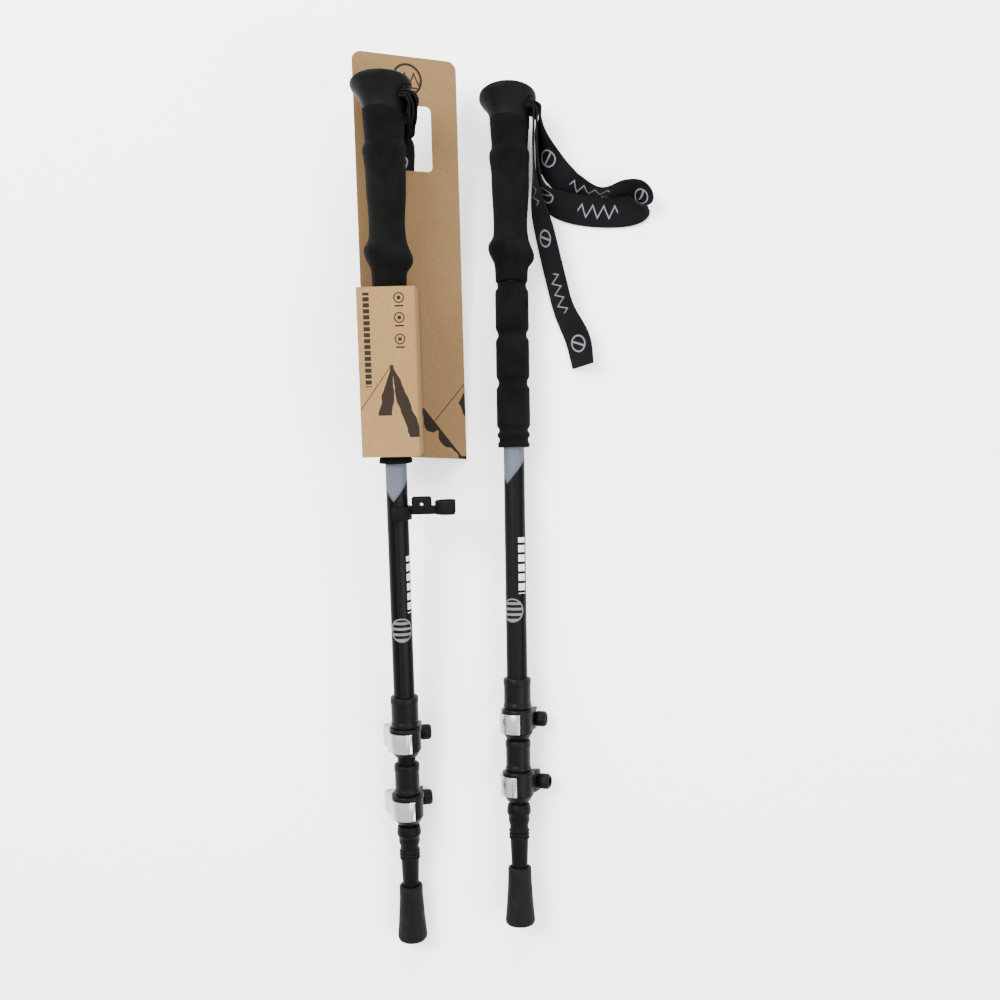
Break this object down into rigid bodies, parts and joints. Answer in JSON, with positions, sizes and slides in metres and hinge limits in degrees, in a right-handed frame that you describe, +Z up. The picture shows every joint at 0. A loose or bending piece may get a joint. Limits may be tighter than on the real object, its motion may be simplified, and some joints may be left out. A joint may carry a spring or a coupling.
{
  "type": "trekking pole pair",
  "caption": "Pair of telescoping trekking poles with foam grips, wrist straps, flip locks and rubber feet, lying flat, one in a folded display card with a joining clip.",
  "frame": {"origin": "middle of the ground rectangle that the whole set covers, at ground level", "axes": "+Z up from the ground the poles lie on, +Y along the poles toward the grips, +X toward the pole with the spread strap"},
  "size_m": [0.225, 0.6732, 0.112],
  "materials": {
    "black_plastic": "matte",
    "lock_plastic": "satin",
    "grip_foam": "matte",
    "webbing": "matte",
    "printed_tube": "satin",
    "black_tube": "gloss",
    "silver_lever": "satin",
    "steel": "satin",
    "carbide": "satin",
    "rubber": "matte",
    "kraft_card": "matte"
  },
  "bodies": {
    "left_upper": {"grip_head_l": "black_plastic", "grip_foam_l": "grip_foam", "lower_grip_foam_l": "grip_foam", "strap_l": "webbing", "strap_pin_l": "steel", "upper_shaft_l": "printed_tube", "upper_lock_sleeve_l": "lock_plastic", "upper_lock_band_l": "lock_plastic", "upper_lock_pivot_l": "steel", "upper_lock_bolt_l": "steel"},
    "left_strap_wedge": {"strap_wedge_l": "black_plastic"},
    "left_upper_lever": {"upper_lock_lever_l": "silver_lever"},
    "left_upper_nut": {"upper_lock_nut_l": "lock_plastic"},
    "left_middle": {"middle_shaft_l": "black_tube", "middle_bush_l": "black_plastic", "lower_lock_sleeve_l": "lock_plastic", "lower_lock_band_l": "lock_plastic", "lower_lock_pivot_l": "steel", "lower_lock_bolt_l": "steel"},
    "left_lower_lever": {"lower_lock_lever_l": "silver_lever"},
    "left_lower_nut": {"lower_lock_nut_l": "lock_plastic"},
    "left_lower": {"lower_shaft_l": "black_tube", "lower_bush_l": "black_plastic", "tip_ferrule_l": "black_plastic", "carbide_tip_l": "carbide"},
    "left_foot": {"rubber_foot_l": "rubber"},
    "right_upper": {"grip_head_r": "black_plastic", "grip_foam_r": "grip_foam", "lower_grip_foam_r": "grip_foam", "strap_r": "webbing", "strap_pin_r": "steel", "upper_shaft_r": "printed_tube", "upper_lock_sleeve_r": "lock_plastic", "upper_lock_band_r": "lock_plastic", "upper_lock_pivot_r": "steel", "upper_lock_bolt_r": "steel"},
    "right_strap_wedge": {"strap_wedge_r": "black_plastic"},
    "right_upper_lever": {"upper_lock_lever_r": "silver_lever"},
    "right_upper_nut": {"upper_lock_nut_r": "lock_plastic"},
    "right_middle": {"middle_shaft_r": "black_tube", "middle_bush_r": "black_plastic", "lower_lock_sleeve_r": "lock_plastic", "lower_lock_band_r": "lock_plastic", "lower_lock_pivot_r": "steel", "lower_lock_bolt_r": "steel"},
    "right_lower_lever": {"lower_lock_lever_r": "silver_lever"},
    "right_lower_nut": {"lower_lock_nut_r": "lock_plastic"},
    "right_lower": {"lower_shaft_r": "black_tube", "lower_bush_r": "black_plastic", "tip_ferrule_r": "black_plastic", "carbide_tip_r": "carbide"},
    "right_foot": {"rubber_foot_r": "rubber"},
    "pole_clip": {"pole_clip": "black_plastic"},
    "display_card": {"display_card": "kraft_card"}
  },
  "joints": [
    {"name": "left_strap_wedge_pull", "type": "slide", "parent": "left_upper", "child": "left_strap_wedge", "axis": [0.9997, 0.0244, 0], "range_m": [0, 0.006]},
    {"name": "left_upper_lever_flip", "type": "hinge", "parent": "left_upper", "child": "left_upper_lever", "pos_m": [-0.09083, -0.17494, 0.01817], "axis": [0.0242, -0.9922, -0.1219], "range_deg": [0, 100]},
    {"name": "left_upper_nut_turn", "type": "hinge", "parent": "left_upper", "child": "left_upper_nut", "pos_m": [-0.07893, -0.17447, 0.01672], "axis": [0.9919, 0.0391, -0.121], "continuous": true},
    {"name": "left_middle_slide", "type": "slide", "parent": "left_upper", "child": "left_middle", "axis": [0.0242, -0.9922, -0.1219], "range_m": [-0.0053, 0.3397]},
    {"name": "left_lower_lever_flip", "type": "hinge", "parent": "left_middle", "child": "left_lower_lever", "pos_m": [-0.0902, -0.22763, 0.01244], "axis": [0.0242, -0.9922, -0.1219], "range_deg": [0, 100]},
    {"name": "left_lower_nut_turn", "type": "hinge", "parent": "left_middle", "child": "left_lower_nut", "pos_m": [-0.07839, -0.22709, 0.01037], "axis": [0.984, 0.0452, -0.1724], "continuous": true},
    {"name": "left_lower_slide", "type": "slide", "parent": "left_middle", "child": "left_lower", "axis": [0.0242, -0.9922, -0.1219], "range_m": [0, 0.335]},
    {"name": "left_foot_pull_off", "type": "slide", "parent": "left_lower", "child": "left_foot", "axis": [0.0242, -0.9922, -0.1219], "range_m": [0, 0.06]},
    {"name": "right_strap_wedge_pull", "type": "slide", "parent": "right_upper", "child": "right_strap_wedge", "axis": [0.9999, 0.014, 0], "range_m": [0, 0.006]},
    {"name": "right_upper_lever_flip", "type": "hinge", "parent": "right_upper", "child": "right_upper_lever", "pos_m": [-0.00041, -0.16472, 0.00596], "axis": [0.014, -0.9999, 0], "range_deg": [0, 100]},
    {"name": "right_upper_nut_turn", "type": "hinge", "parent": "right_upper", "child": "right_upper_nut", "pos_m": [0.01132, -0.16455, 0.00846], "axis": [0.9781, 0.0137, 0.2079], "continuous": true},
    {"name": "right_middle_slide", "type": "slide", "parent": "right_upper", "child": "right_middle", "axis": [0.014, -0.9999, 0], "range_m": [0, 0.345]},
    {"name": "right_lower_lever_flip", "type": "hinge", "parent": "right_middle", "child": "right_lower_lever", "pos_m": [0.00391, -0.21236, 0.00451], "axis": [0.014, -0.9999, 0], "range_deg": [0, 100]},
    {"name": "right_lower_nut_turn", "type": "hinge", "parent": "right_middle", "child": "right_lower_nut", "pos_m": [0.01487, -0.21221, 0.00939], "axis": [0.9135, 0.0128, 0.4067], "continuous": true},
    {"name": "right_lower_slide", "type": "slide", "parent": "right_middle", "child": "right_lower", "axis": [0.014, -0.9999, 0], "range_m": [0, 0.335]},
    {"name": "right_foot_pull_off", "type": "slide", "parent": "right_lower", "child": "right_foot", "axis": [0.014, -0.9999, 0], "range_m": [0, 0.06]},
    {"name": "clip_swing", "type": "hinge", "parent": "left_upper", "child": "pole_clip", "pos_m": [-0.08134, -0.00333, 0.05223], "axis": [0.0242, -0.9922, -0.1219], "range_deg": [-35, 180]},
    {"name": "card_slide", "type": "slide", "parent": "left_upper", "child": "display_card", "axis": [0.0242, -0.9922, -0.1219], "range_m": [0, 0.02]},
    {"name": "right_pole_lift", "type": "slide", "parent": "left_upper", "child": "right_upper", "axis": [0, 0, 1], "range_m": [0, 0.2]}
  ]
}
